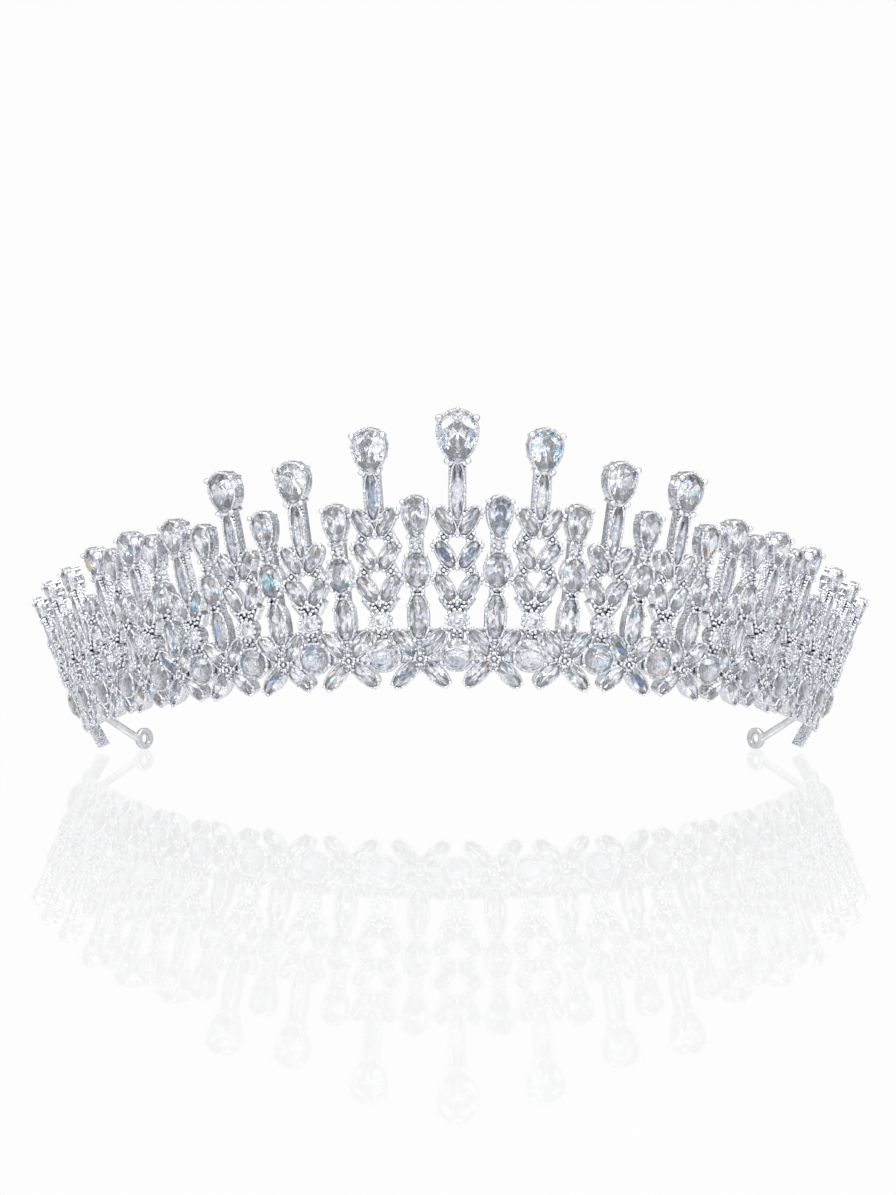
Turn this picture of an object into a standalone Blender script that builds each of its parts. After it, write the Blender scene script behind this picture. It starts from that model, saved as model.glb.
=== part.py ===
"""Bridal tiara: an open, outward-flaring band of cast sprays, graduated from a tall centre to low ends.

Tall and short sprays alternate along half an ellipse. Each spray is one casting of open collets
joined by small bars. A round rail wire runs behind them all, and a rigid wire arm with a flat eyelet
leaves each end of the band. The tiara is placed as it is displayed: leaning back a little, its two
eyelets on the ground and its front edge raised, which on its own it does not hold. X is to the
wearer's left and right, the front faces -Y.
"""

import math

import bmesh
import bpy
from mathutils import Matrix, Vector

MM = 0.001

# ---- The band's lower edge, a stretch of an ellipse seen from above (mm, degrees) ----
HALF_WIDTH = 82.6
HALF_DEPTH = 112.7
PITCH = 12.87
SPRAYS_EACH_SIDE = 9
FLARE = 15.8
EXTRA_FLARE_AT_ENDS = 6.3
TUCK_AT_ENDS = 0.9
FAN_OUT = 2.3
LEAN_BACK = 7.3
FRONT_EDGE_HEIGHT = 13.7
BOX_CENTRE_FROM_FRONT = 40.434

# ---- Height of each spray above the lower edge, from the centre outwards (mm) ----
TALL_TOPS = (50.7, 47.7, 42.7, 42.4, 35.2, 34.8, 34.0, 32.2, 31.7, 30.6)
TALL_HEADS = (10.2, 8.7, 8.4, 8.4, 7.4, 7.4, 6.7, 6.0, 5.6, 5.6)
V_PAIRS = (3, 3, 2, 2, 1, 1, 1, 1, 1, 1)
SHORT_TOPS = (34.9, 33.9, 33.8, 32.9, 32.8, 32.2, 24.9, 23.9, 22.9)

# ---- Collets: the open cups that hold the stones (mm) ----
COLLET_DEPTH = 2.4
BIG_ROUND_PROUD = 0.7
HEAD_PROUD = 0.8
BACK_TAPER = 0.84
HEAD_WALL = 0.55
HEAD_ASPECT = 0.76
STONE_GAP = 0.3
STONE_CROWN = 0.9
BAR_FRONT = 0.7
BAR_BACK = 1.8

# Tall spray, heights above the lower edge
BIG_ROUND_HEIGHT = 6.0
BIG_ROUND_RADIUS = 2.75
SMALL_ROUND_HEIGHT = 12.3
SMALL_ROUND_RADIUS = 1.9
V_CENTRE_HEIGHT = 18.3
V_STEP = 5.95
V_CENTRE_OUT = 2.12
V_LENGTH = 6.2
V_WIDTH = 3.0
V_TILT = 31.0
STEM_WIDTH = 3.4

# Short spray
CROSS_HEIGHT = 5.3
CROSS_REACH_OUT = 4.8
CROSS_TOP = 10.6
CROSS_BOTTOM = 0.2
CROSS_LEAF_WIDTH = 3.2
UPRIGHT_HEIGHT = 12.9
UPRIGHT_LENGTH = 9.0
UPRIGHT_WIDTH = 4.3
OVAL_HEIGHT = 21.4
OVAL_LENGTH = 7.2
OVAL_WIDTH = 5.3
SHORT_HEAD_LENGTH = 8.2
SHORT_HEAD_WIDTH = 5.0
SHORT_SCALE_START = 8.4

# ---- Wires and end bars (mm) ----
RAIL_HEIGHT = 10.0
RAIL_RADIUS = 0.4
RAIL_BEHIND = 3.3
RAIL_OVERRUN = 0.2
ARM_RADIUS = 0.8
ARM_BEHIND = 3.55
EYELET_RADIUS = 2.3
EYELET_HOLE_RADIUS = 1.0
EYELET_THICKNESS = 1.2
EYELET_FROM_CENTRE = 66.1
EYELET_BEHIND_FRONT = 87.0
END_BAR_BOTTOM = -4.3
END_BAR_WIDTH = 2.4
END_BAR_BENT_IN = 1.3


# ---------------------------------------------------------------- the band's frame

def edge_angle(length):
    """Parameter of the ellipse at a distance along the lower edge from the front."""
    step = 0.002
    angle = 0.0
    walked = 0.0
    speed = HALF_WIDTH
    while walked < length:
        speed = math.hypot(HALF_WIDTH * math.cos(angle), HALF_DEPTH * math.sin(angle))
        walked += speed * step
        angle += step
    return angle - (walked - length) / speed


def seat_matrix(place):
    """Frame of a spray: X along the band, Y into the band's thickness, Z up the flared wall."""
    angle = edge_angle(abs(place) * PITCH)
    side = -1.0 if place < 0 else 1.0
    along = Vector((HALF_WIDTH * math.cos(angle), side * HALF_DEPTH * math.sin(angle), 0)).normalized()
    outward = Vector((along.y, -along.x, 0))
    flare = math.radians(FLARE + EXTRA_FLARE_AT_ENDS * (place / SPRAYS_EACH_SIDE) ** 2)
    up = outward * math.sin(flare) + Vector((0, 0, math.cos(flare)))
    inward = up.cross(along)
    foot = Vector((side * HALF_WIDTH * math.sin(angle), HALF_DEPTH * (1 - math.cos(angle)), 0))
    foot = (foot - outward * TUCK_AT_ENDS * (place / SPRAYS_EACH_SIDE) ** 2) * MM
    matrix = Matrix((along, inward, up)).transposed().to_4x4()
    matrix.translation = foot
    fan = math.radians(side * FAN_OUT * abs(place) / (abs(place) + 1.5))
    return matrix @ Matrix.Rotation(fan, 4, "Y")


def on_band(place, out, depth, height):
    """Point of the leaning band, in the tiara's frame, from a place in one spray's own frame."""
    lean = band_frame.matrix_basis
    return lean @ seat_matrix(place) @ (Vector((out, depth, height)) * MM)


# ---------------------------------------------------------------- outlines of the stone cuts

def round_cut(angle, length, width):
    return width / 2 * math.cos(angle), length / 2 * math.sin(angle)


def marquise_cut(angle, length, width):
    narrowing = abs(math.cos(angle)) ** 0.5
    return width / 2 * math.cos(angle) * narrowing, length / 2 * math.sin(angle)


def pear_cut(angle, length, width):
    """Round above, pointed below; the widest place is the origin of the two halves."""
    if math.sin(angle) >= 0:
        return width / 2 * math.cos(angle), (width / 2) * math.sin(angle) + pear_shift(length, width)
    narrowing = abs(math.cos(angle)) ** 0.45
    lower = length - width / 2
    return width / 2 * math.cos(angle) * narrowing, lower * math.sin(angle) + pear_shift(length, width)


def pear_shift(length, width):
    return length / 2 - width / 2


def cup(cut, length, width, out, height, tilt=0.0, front=0.0, back=COLLET_DEPTH, sides=8, taper=BACK_TAPER):
    """A tapering cup: a cone primitive with its ring of points drawn to the outline of the cut."""
    shape = bmesh.new()
    bmesh.ops.create_cone(shape, cap_ends=True, segments=sides, radius1=1, radius2=1, depth=1)
    ring = sorted({round(math.atan2(v.co.y, v.co.x), 4) for v in shape.verts})
    turned = -math.pi / 2 - ring[0]
    turn = Matrix.Rotation(math.radians(tilt), 3, "Y")
    for vert in shape.verts:
        angle = math.atan2(vert.co.y, vert.co.x) + turned
        across, along = cut(angle, length, width)
        at_back = vert.co.z > 0
        scale = taper if at_back else 1.0
        depth = back if at_back else front
        vert.co = turn @ Vector((across * scale, depth, along * scale)) + Vector((out, 0, height))
    return finish_shape(shape)


def bar(start, end, width, front=BAR_FRONT, back=BAR_BACK, bent_in=0.0):
    """A small square bar between two places (out, height) of a spray; its start may lie deeper."""
    start = Vector((start[0], 0, start[1]))
    end = Vector((end[0], 0, end[1]))
    run = end - start
    turn = Matrix.Rotation(math.atan2(run.x, run.z), 3, "Y")
    shape = bmesh.new()
    bmesh.ops.create_cube(shape, size=1)
    for vert in shape.verts:
        local = Vector((vert.co.x * width, 0, vert.co.z * run.length))
        depth = (front + back) / 2 + vert.co.y * (back - front) + bent_in * (0.5 - vert.co.z)
        vert.co = turn @ local + (start + end) / 2 + Vector((0, depth, 0))
    return finish_shape(shape)


def finish_shape(shape):
    """Mesh in metres, with its faces pointing out."""
    bmesh.ops.recalc_face_normals(shape, faces=shape.faces)
    if shape.calc_volume(signed=True) < 0:
        bmesh.ops.reverse_faces(shape, faces=shape.faces)
    bmesh.ops.scale(shape, vec=(MM, MM, MM), verts=shape.verts)
    mesh = bpy.data.meshes.new("shape")
    shape.to_mesh(mesh)
    shape.free()
    return mesh


def joined(name, meshes, holes=()):
    """One closed casting: the union of the meshes, less the holes."""
    stock = []
    for mesh in [*meshes, *holes]:
        piece = bpy.data.objects.new("stock", mesh)
        cutters.objects.link(piece)
        stock.append(piece)
    body = stock[0]
    for number, other in enumerate(stock[1:], start=1):
        boolean = body.modifiers.new("join", "BOOLEAN")
        boolean.operation = "UNION" if number < len(meshes) else "DIFFERENCE"
        boolean.solver = "EXACT"
        boolean.object = other
    bpy.context.view_layer.update()
    graph = bpy.context.evaluated_depsgraph_get()
    result = bpy.data.meshes.new_from_object(body.evaluated_get(graph))
    result.name = name
    for piece in stock:
        bpy.data.objects.remove(piece)
    return result


# ---------------------------------------------------------------- sprays

def head_collet(length, width, height, open_cup=True):
    """Pear cup with an open back; returns the cup and the hole through it."""
    cup_mesh = cup(pear_cut, length, width, 0, height, front=-HEAD_PROUD, back=COLLET_DEPTH + 0.5,
                   sides=10)
    if not open_cup:
        return cup_mesh, None
    inner_length = length - 2 * HEAD_WALL - 0.3
    inner_width = width - 2 * HEAD_WALL
    hole = cup(pear_cut, inner_length, inner_width, 0, height + 0.1, front=-2, back=COLLET_DEPTH + 2,
               sides=10)
    return cup_mesh, hole


def tall_spray(number):
    """Base round, small round, V pairs, stem and pear head, joined from the bottom up."""
    top = TALL_TOPS[number]
    head = TALL_HEADS[number]
    pairs = V_PAIRS[number]
    parts = [cup(round_cut, 2 * BIG_ROUND_RADIUS, 2 * BIG_ROUND_RADIUS, 0, BIG_ROUND_HEIGHT,
                 front=-BIG_ROUND_PROUD)]
    parts.append(bar((0, BIG_ROUND_HEIGHT + 1), (0, SMALL_ROUND_HEIGHT - 1), 1.3))
    parts.append(cup(round_cut, 2 * SMALL_ROUND_RADIUS, 2 * SMALL_ROUND_RADIUS, 0, SMALL_ROUND_HEIGHT))
    half_rise = V_LENGTH / 2 * math.cos(math.radians(V_TILT))
    v_bottom = V_CENTRE_HEIGHT - half_rise
    parts.append(bar((0, SMALL_ROUND_HEIGHT + 0.8), (0, v_bottom + 1.3), 1.7))
    for pair in range(pairs):
        centre = V_CENTRE_HEIGHT + pair * V_STEP
        for side in (-1, 1):
            parts.append(cup(marquise_cut, V_LENGTH, V_WIDTH, side * V_CENTRE_OUT, centre,
                             tilt=side * V_TILT, front=0.1 * pair, sides=6))
        if pair > 0:
            parts.append(bar((-0.9, centre - half_rise + 0.75), (0.9, centre - half_rise + 0.75), 0.9,
                             front=0.8, back=1.9))
            for side in (-1, 1):
                parts.append(bar((side * 2.75, centre - half_rise - 1.75),
                                 (side * 1.6, centre - half_rise + 1.2), 1.4))
    v_top = V_CENTRE_HEIGHT + (pairs - 1) * V_STEP + half_rise
    stem_bottom = v_top - 0.3
    stem_top = top - head - 0.1
    parts.append(bar((0, v_top - 2 * half_rise + 0.6), (0, stem_bottom + 1.2), 1.3, front=0.9, back=1.7))
    parts.append(cup(marquise_cut, stem_top - stem_bottom, STEM_WIDTH, 0, (stem_top + stem_bottom) / 2,
                     sides=6))
    parts.append(bar((0, stem_top - 1.2), (0, top - head + 1.0), 1.2))
    if number == SPRAYS_EACH_SIDE:
        parts.append(bar((0, END_BAR_BOTTOM), (0, BIG_ROUND_HEIGHT - 1.2), END_BAR_WIDTH, front=0.05,
                         back=COLLET_DEPTH - 0.15, bent_in=END_BAR_BENT_IN))
    cup_mesh, hole = head_collet(head, head * HEAD_ASPECT, top - head / 2)
    parts.append(cup_mesh)
    return joined("tall_spray", parts, [hole])


def short_spray(number):
    """Base cross of four leaves, upright marquise, oval and pear head."""
    top = SHORT_TOPS[number]
    scale = (top - SHORT_SCALE_START) / (SHORT_TOPS[0] - SHORT_SCALE_START)
    slim = 0.5 + 0.5 * scale

    def raised(height):
        return SHORT_SCALE_START + (height - SHORT_SCALE_START) * scale

    parts = [cup(round_cut, 2.8, 2.8, 0, CROSS_HEIGHT, front=0.15, back=COLLET_DEPTH - 0.2, sides=6)]
    for side in (-1, 1):
        for tip, inset in ((CROSS_TOP, 0.0), (CROSS_BOTTOM, 0.1)):
            reach = Vector((side * CROSS_REACH_OUT, tip - CROSS_HEIGHT))
            length = reach.length - 0.75
            centre = reach.normalized() * (0.75 + length / 2)
            tilt = math.degrees(math.atan2(centre.x, centre.y))
            parts.append(cup(marquise_cut, length, CROSS_LEAF_WIDTH, centre.x, CROSS_HEIGHT + centre.y,
                             tilt=tilt, front=inset, sides=6))
    upright_length = UPRIGHT_LENGTH * scale
    parts.append(bar((0, CROSS_HEIGHT + 0.5), (0, raised(UPRIGHT_HEIGHT) - upright_length / 2 + 1.1), 1.3))
    parts.append(cup(marquise_cut, upright_length, UPRIGHT_WIDTH * slim, 0, raised(UPRIGHT_HEIGHT), sides=6))
    parts.append(bar((0, raised(UPRIGHT_HEIGHT) + upright_length / 2 - 1.3),
                     (0, raised(OVAL_HEIGHT) - OVAL_LENGTH * scale / 2 + 0.9), 1.2))
    parts.append(cup(round_cut, OVAL_LENGTH * scale, OVAL_WIDTH * slim, 0, raised(OVAL_HEIGHT), front=-0.1))
    head = SHORT_HEAD_LENGTH * scale
    parts.append(bar((0, raised(OVAL_HEIGHT) + OVAL_LENGTH * scale / 2 - 0.9), (0, top - head + 1.2), 1.3))
    cup_mesh, _ = head_collet(head, SHORT_HEAD_WIDTH * slim, top - head / 2, open_cup=False)
    parts.append(cup_mesh)
    return joined("short_spray", parts)


def head_stone(number):
    """Pear stone: pointed back, girdle just inside the cup, and a raised crown with a flat table."""
    head = TALL_HEADS[number]
    length = head - 2 * HEAD_WALL - 0.3 - 2 * STONE_GAP - 0.2
    width = head * HEAD_ASPECT - 2 * HEAD_WALL - 2 * STONE_GAP
    height = TALL_TOPS[number] - head / 2 + 0.1
    back = COLLET_DEPTH * 0.9
    stone = cup(pear_cut, length, width, 0, height, front=0.0, back=back, sides=10, taper=0.12)
    shape = bmesh.new()
    shape.from_mesh(stone)
    shape.faces.ensure_lookup_table()
    girdle = min((face for face in shape.faces if len(face.verts) == 10),
                 key=lambda face: face.calc_center_median().y)
    bmesh.ops.inset_region(shape, faces=[girdle], thickness=width * 0.18 * MM, depth=STONE_CROWN * MM,
                           use_even_offset=True)
    shape.to_mesh(stone)
    shape.free()
    return stone


# ---------------------------------------------------------------- wires

def wire(name, points, radius):
    """Round wire through the points, as one closed mesh."""
    curve = bpy.data.curves.new(name, "CURVE")
    curve.dimensions = "3D"
    curve.bevel_depth = radius * MM
    curve.bevel_resolution = 2
    curve.use_fill_caps = True
    spline = curve.splines.new("POLY")
    spline.points.add(len(points) - 1)
    for point, place in zip(spline.points, points):
        point.co = (*place, 1)
    holder = bpy.data.objects.new(name, curve)
    cutters.objects.link(holder)
    bpy.context.view_layer.update()
    graph = bpy.context.evaluated_depsgraph_get()
    mesh = bpy.data.meshes.new_from_object(holder.evaluated_get(graph))
    bpy.data.objects.remove(holder)
    shape = bmesh.new()
    shape.from_mesh(mesh)
    bmesh.ops.remove_doubles(shape, verts=shape.verts, dist=0.00002)
    bmesh.ops.recalc_face_normals(shape, faces=shape.faces)
    shape.to_mesh(mesh)
    shape.free()
    return mesh


def smooth_route(knots, steps):
    """Points of one smooth curve through the knots (Catmull-Rom)."""
    ends = [knots[0] * 2 - knots[1], *knots, knots[-1] * 2 - knots[-2]]
    route = []
    for first, start, end, last in zip(ends, ends[1:], ends[2:], ends[3:]):
        for step in range(steps):
            t = step / steps
            route.append(0.5 * ((2 * start) + (end - first) * t
                                + (2 * first - 5 * start + 4 * end - last) * t ** 2
                                + (3 * start - first - 3 * end + last) * t ** 3))
    route.append(knots[-1])
    return route


def rail_mesh():
    steps = 2 * SPRAYS_EACH_SIDE
    reach = SPRAYS_EACH_SIDE + RAIL_OVERRUN
    places = [step / 2 for step in range(-steps, steps + 1)]
    places[0], places[-1] = -reach, reach
    points = [seat_matrix(place) @ (Vector((0, RAIL_BEHIND, RAIL_HEIGHT)) * MM) for place in places]
    return wire("rail_wire", points, RAIL_RADIUS)


def eyelet_centre(side):
    return Vector((side * EYELET_FROM_CENTRE, EYELET_BEHIND_FRONT, EYELET_RADIUS)) * MM


def arm_mesh(side):
    """Wire from behind the last sprays, bending inward and down to a flat upright eyelet."""
    start = on_band(side * 8.75, 0, ARM_BEHIND, 6.5)
    lower = on_band(side * 9.05, 0, ARM_BEHIND + 0.1, 3.6)
    centre = eyelet_centre(side)
    toward = (centre - lower)
    toward.z = 0
    toward.normalize()
    last = centre - toward * (EYELET_RADIUS - 0.5) * MM
    middle = lower.lerp(last, 0.5) + Vector((side * 1.0, 0.4, 0.5)) * MM
    tube = wire("arm", smooth_route([start, lower, middle, last], 5), ARM_RADIUS)
    ring = bmesh.new()
    bmesh.ops.create_cone(ring, cap_ends=True, segments=12, radius1=EYELET_RADIUS, radius2=EYELET_RADIUS,
                          depth=EYELET_THICKNESS)
    bore = bmesh.new()
    bmesh.ops.create_cone(bore, cap_ends=True, segments=10, radius1=EYELET_HOLE_RADIUS,
                          radius2=EYELET_HOLE_RADIUS, depth=3 * EYELET_THICKNESS)
    face_way = toward.cross(Vector((0, 0, 1)))
    turn = Matrix((toward, Vector((0, 0, 1)), face_way)).transposed().to_4x4()
    meshes = []
    for shape in (ring, bore):
        mesh = finish_shape(shape)
        mesh.transform(Matrix.Translation(centre) @ turn)
        meshes.append(mesh)
    return joined("arm", [meshes[0], tube], [meshes[1]])


# ---------------------------------------------------------------- materials

def finish(name, colour, metallic, roughness, transmission=0.0):
    material = bpy.data.materials.new(name)
    material.use_nodes = True
    shader = material.node_tree.nodes["Principled BSDF"]
    shader.inputs["Base Color"].default_value = (*colour, 1)
    shader.inputs["Metallic"].default_value = metallic
    shader.inputs["Roughness"].default_value = roughness
    shader.inputs["Transmission Weight"].default_value = transmission
    material.diffuse_color = (*colour, 1)
    return material


# ---------------------------------------------------------------- assembly

for old in list(bpy.data.objects):
    bpy.data.objects.remove(old)

tiara = bpy.data.collections.new("bridal_tiara")
cutters = bpy.data.collections.new("cutters")
bpy.context.scene.collection.children.link(tiara)
bpy.context.scene.collection.children.link(cutters)

tiara_frame = bpy.data.objects.new("tiara_frame", None)
tiara_frame.location = (0, -BOX_CENTRE_FROM_FRONT * MM, 0)
tiara.objects.link(tiara_frame)
band_frame = bpy.data.objects.new("band_frame", None)
band_frame.location = (0, 0, FRONT_EDGE_HEIGHT * MM)
band_frame.rotation_euler = (-math.radians(LEAN_BACK), 0, 0)
band_frame.parent = tiara_frame
tiara.objects.link(band_frame)
bpy.context.view_layer.update()

spray_metal = finish("rhodium_plate_sprays", (0.78, 0.78, 0.80), 1.0, 0.18)
wire_metal = finish("rhodium_plate_wire", (0.72, 0.72, 0.74), 1.0, 0.25)
zirconia = finish("cubic_zirconia", (0.95, 0.96, 1.0), 0.0, 0.02, transmission=0.9)


def add_piece(name, mesh, material, parent, matrix=None):
    if not mesh.materials:
        mesh.materials.append(material)
    piece = bpy.data.objects.new(name, mesh)
    piece.parent = parent
    if matrix is not None:
        piece.location = matrix.to_translation()
        piece.rotation_euler = matrix.to_euler()
    tiara.objects.link(piece)
    return piece


def side_places(number, offset):
    """Labels and signed places of a pair of sprays, or of the one in the middle."""
    if number + offset == 0:
        return (("centre", 0.0),)
    label = math.ceil(number + offset)
    return ((f"left_{label}", -(number + offset)), (f"right_{label}", number + offset))


for number in range(SPRAYS_EACH_SIDE + 1):
    casting = tall_spray(number)
    stone = head_stone(number)
    for label, place in side_places(number, 0):
        seat = seat_matrix(place)
        add_piece(f"tall_spray_{label}", casting, spray_metal, band_frame, seat)
        add_piece(f"head_stone_{label}", stone, zirconia, band_frame, seat)

for number in range(SPRAYS_EACH_SIDE):
    casting = short_spray(number)
    for label, place in side_places(number, 0.5):
        add_piece(f"short_spray_{label}", casting, spray_metal, band_frame, seat_matrix(place))

add_piece("rail_wire", rail_mesh(), wire_metal, band_frame)
add_piece("arm_left", arm_mesh(-1), wire_metal, tiara_frame)
add_piece("arm_right", arm_mesh(1), wire_metal, tiara_frame)
bpy.context.view_layer.update()
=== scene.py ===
import math
import random

import bmesh
import bpy
import numpy as np
from mathutils import Matrix, Vector


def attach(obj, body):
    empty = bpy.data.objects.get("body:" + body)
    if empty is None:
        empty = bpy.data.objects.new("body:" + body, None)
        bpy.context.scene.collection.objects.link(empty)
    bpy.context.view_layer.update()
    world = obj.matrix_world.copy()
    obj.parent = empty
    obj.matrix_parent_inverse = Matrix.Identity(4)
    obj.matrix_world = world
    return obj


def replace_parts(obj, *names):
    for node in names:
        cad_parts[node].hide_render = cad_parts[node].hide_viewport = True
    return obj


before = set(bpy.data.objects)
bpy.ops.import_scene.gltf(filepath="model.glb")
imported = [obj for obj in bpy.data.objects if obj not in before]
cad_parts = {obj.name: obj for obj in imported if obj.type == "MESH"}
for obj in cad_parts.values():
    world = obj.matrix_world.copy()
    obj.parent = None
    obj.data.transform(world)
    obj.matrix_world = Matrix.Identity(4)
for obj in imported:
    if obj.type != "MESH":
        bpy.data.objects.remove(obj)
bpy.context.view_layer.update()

# ============================================================ camera
# A low camera on a stand about half a metre in front of the tiara, a little left of its centre and
# looking slightly up at it.

MM = 0.001
CAMERA_PLACE = (-7.0, -477.6, 16.0)
CAMERA_TILT_UP = 1.83
CAMERA_TURN = -0.705

camera = bpy.data.objects.new("camera", bpy.data.cameras.new("camera"))
bpy.context.scene.collection.objects.link(camera)
camera.data.lens = 72.96
camera.data.clip_start = 0.01
camera.location = Vector(CAMERA_PLACE) * MM
camera.rotation_euler = (math.radians(90 + CAMERA_TILT_UP), 0, math.radians(CAMERA_TURN))
bpy.context.scene.camera = camera

# ============================================================ floor
# A sheet of opal acrylic lit from below: white from edge to edge, with a polished face that gives a
# faint, sharp mirror image of what stands on it. It lies loose under the tiara.

SHEET_HALF = 12.0
GLOW_SEEN, GLOW_GIVEN = 0.985, 1.1
MIRROR_UNDER_TIARA, MIRROR_IN_FRONT = 0.21, 0.06
MIRROR_FADES_FROM, MIRROR_FADES_TO = -0.24, -0.40


def linear(hex_colour):
    """sRGB hex to linear RGBA."""
    parts = [int(hex_colour[i:i + 2], 16) / 255 for i in (1, 3, 5)]
    return (*[c / 12.92 if c <= 0.04045 else ((c + 0.055) / 1.055) ** 2.4 for c in parts], 1.0)


def add_node(tree, kind, inputs=None, links=None, **settings):
    """A node with its settings, its input values, and the outputs linked to its inputs."""
    node = tree.nodes.new(kind)
    for name, value in settings.items():
        setattr(node, name, value)
    for name, value in (inputs or {}).items():
        node.inputs[name].default_value = value
    for name, output in (links or {}).items():
        tree.links.new(output, node.inputs[name])
    return node


def new_material(name):
    """A material with nothing but its Principled shader, which is returned with its tree."""
    material = bpy.data.materials.new(name)
    material.use_nodes = True
    return material, material.node_tree, material.node_tree.nodes["Principled BSDF"]


sheet_mesh = bpy.data.meshes.new("acrylic_sheet")
sheet_shape = bmesh.new()
bmesh.ops.create_grid(sheet_shape, x_segments=8, y_segments=8, size=SHEET_HALF)
sheet_shape.to_mesh(sheet_mesh)
sheet_shape.free()
sheet = bpy.data.objects.new("acrylic_sheet", sheet_mesh)
bpy.context.scene.collection.objects.link(sheet)

# Opal acrylic over lamps: an even white glow under a polished face. The mirror image is strongest
# near the tiara and fades towards the front, as the sheet's glow drowns it.
acrylic, tree, shader = new_material("opal_acrylic_lit")
seen = add_node(tree, "ShaderNodeLightPath")
level = add_node(tree, "ShaderNodeMapRange", {"To Min": GLOW_GIVEN, "To Max": GLOW_SEEN},
                 {"Value": seen.outputs["Is Camera Ray"]})
lit = add_node(tree, "ShaderNodeEmission", {"Color": linear("#FFFFFF")}, {"Strength": level.outputs[0]})
gloss = add_node(tree, "ShaderNodeBsdfGlossy", {"Color": linear("#FFFFFF"), "Roughness": 0.0})
spot = add_node(tree, "ShaderNodeTexCoord")
axes = add_node(tree, "ShaderNodeSeparateXYZ", links={0: spot.outputs["Object"]})
mirror = add_node(tree, "ShaderNodeMapRange",
                  {"From Min": MIRROR_FADES_FROM, "From Max": MIRROR_FADES_TO,
                   "To Min": MIRROR_UNDER_TIARA, "To Max": MIRROR_IN_FRONT},
                  {"Value": axes.outputs["Y"]})
face = add_node(tree, "ShaderNodeMixShader",
                links={0: mirror.outputs[0], 1: lit.outputs[0], 2: gloss.outputs[0]})
tree.links.new(face.outputs[0], tree.nodes["Material Output"].inputs["Surface"])
sheet_mesh.materials.append(acrylic)

# ============================================================ light
# A plain white studio. What the metal and stones see is softer: wide soft boxes in front and above
# with grey gaps between them, a white card behind, and a dimmer room around the card. Three small
# soft boxes on stands add the highlights.

FRONT_LIGHT, BACK_LIGHT = 2.6, 0.95
BOX_LIGHT, GAP_LIGHT = 1.15, 0.55
BOXES_ROUND = 6.0


def ramp_stops(node, stops):
    """Sets a ramp's stops, each a position and an sRGB hex colour."""
    ramp = node.color_ramp
    while len(ramp.elements) < len(stops):
        ramp.elements.new(0.5)
    for element, (place, colour) in zip(ramp.elements, stops):
        element.position = place
        element.color = linear(colour)


bpy.context.scene.view_settings.view_transform = "Standard"
world = bpy.data.worlds.new("studio")
bpy.context.scene.world = world
world.use_nodes = True
tree = world.node_tree
tree.nodes.clear()
way = add_node(tree, "ShaderNodeTexCoord")
split = add_node(tree, "ShaderNodeSeparateXYZ", links={0: way.outputs["Generated"]})
front = add_node(tree, "ShaderNodeMapRange",
                 {"From Min": 0.35, "From Max": -0.5, "To Min": BACK_LIGHT, "To Max": FRONT_LIGHT},
                 {"Value": split.outputs["Y"]}, interpolation_type="SMOOTHSTEP")
turn = add_node(tree, "ShaderNodeMath", links={0: split.outputs["X"], 1: split.outputs["Y"]},
                operation="ARCTAN2")
turns = add_node(tree, "ShaderNodeMath", {1: BOXES_ROUND}, {0: turn.outputs[0]}, operation="MULTIPLY")
wave = add_node(tree, "ShaderNodeMath", links={0: turns.outputs[0]}, operation="COSINE")
boxes = add_node(tree, "ShaderNodeMapRange",
                 {"From Min": -0.3, "From Max": 0.3, "To Min": BOX_LIGHT, "To Max": GAP_LIGHT},
                 {"Value": wave.outputs[0]}, interpolation_type="SMOOTHSTEP")
rise = add_node(tree, "ShaderNodeMapRange", {"From Min": -1.0, "From Max": 1.0},
                {"Value": split.outputs["Z"]})
tiers = add_node(tree, "ShaderNodeValToRGB", links={"Fac": rise.outputs[0]})
ramp_stops(tiers, [(0.0, "#E8E8EC"), (0.46, "#D4D5DA"), (0.52, "#70737C"), (0.58, "#E6E7EA"),
                   (0.74, "#FFFFFF"), (0.80, "#6E7179"), (0.86, "#F6F6F8"), (1.0, "#FFFFFF")])
strength = add_node(tree, "ShaderNodeMath", links={0: front.outputs[0], 1: boxes.outputs[0]},
                    operation="MULTIPLY")
room = add_node(tree, "ShaderNodeVectorMath", links={0: tiers.outputs["Color"]}, operation="SCALE")
tree.links.new(strength.outputs[0], room.inputs["Scale"])
card_side = add_node(tree, "ShaderNodeMapRange", {"From Min": 0.93, "From Max": 0.95},
                     {"Value": split.outputs["Y"]})
card_top = add_node(tree, "ShaderNodeMapRange", {"From Min": 0.27, "From Max": 0.25},
                    {"Value": split.outputs["Z"]})
card = add_node(tree, "ShaderNodeMath", links={0: card_side.outputs[0], 1: card_top.outputs[0]},
                operation="MULTIPLY")
seen = add_node(tree, "ShaderNodeLightPath")
white = add_node(tree, "ShaderNodeMath", links={0: card.outputs[0], 1: seen.outputs["Is Camera Ray"]},
                 operation="MAXIMUM")
sky = add_node(tree, "ShaderNodeMixRGB", {2: linear("#FDFDFD")},
               {"Fac": white.outputs[0], 1: room.outputs[0]})
glow = add_node(tree, "ShaderNodeBackground", {"Strength": 1.0}, {"Color": sky.outputs[0]})
add_node(tree, "ShaderNodeOutputWorld", links={"Surface": glow.outputs[0]})


def soft_box(name, place, size, power):
    """Square lamp at a place in metres, turned to face the middle of the tiara."""
    light = bpy.data.lights.new(name, "AREA")
    light.energy = power
    light.size = size
    lamp = bpy.data.objects.new(name, light)
    lamp.location = place
    lamp.rotation_euler = (Vector((0, 0, 0.03)) - Vector(place)).to_track_quat("-Z", "Y").to_euler()
    bpy.context.scene.collection.objects.link(lamp)


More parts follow.
